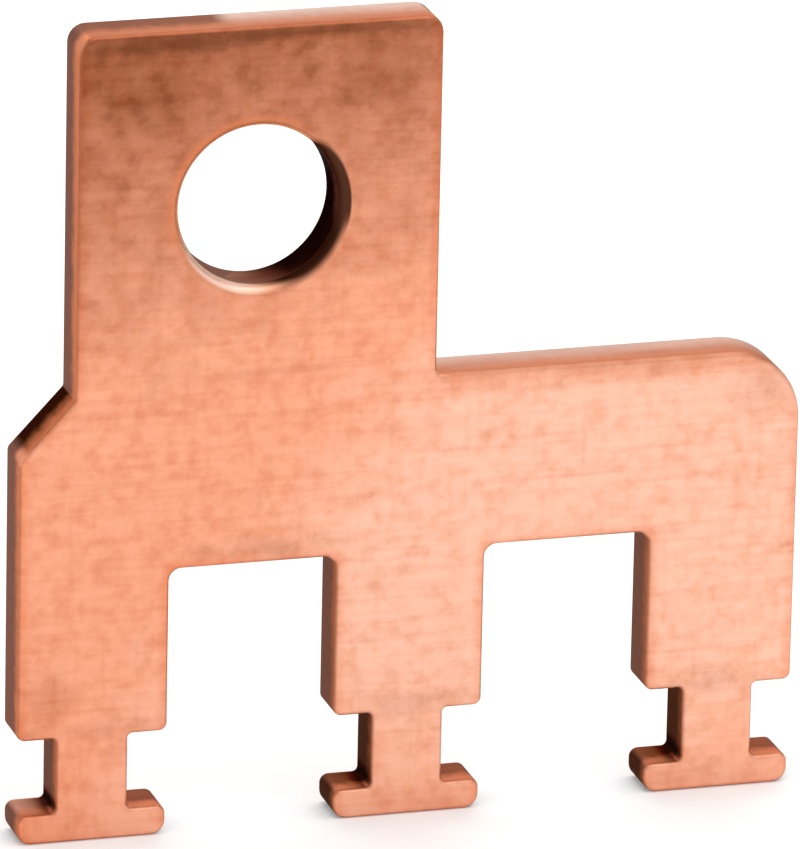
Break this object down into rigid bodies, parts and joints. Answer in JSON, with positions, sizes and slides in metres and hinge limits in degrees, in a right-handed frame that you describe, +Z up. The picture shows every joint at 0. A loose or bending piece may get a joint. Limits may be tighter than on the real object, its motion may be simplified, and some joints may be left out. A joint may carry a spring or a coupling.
{
  "type": "parallel busbar",
  "caption": "Flat punched copper busbar that joins a contactor's poles in parallel: necked legs with T-shaped feet, a yoke with a rounded corner, and a palm with a bolt hole for a cable lug.",
  "frame": {"origin": "middle of the middle foot's underside, at half the strip's thickness, which is also the middle of the part's footprint", "axes": "+X along the row of poles, to the right as seen from the front; +Y through the strip, away from the front face with the rolled edges; +Z up from the feet to the palm"},
  "size_m": [0.0446, 0.003, 0.0461],
  "materials": {
    "copper": "bare rolled copper, satin, lightly tarnished"
  },
  "bodies": {
    "root": {"busbar": "copper"}
  },
  "joints": []
}
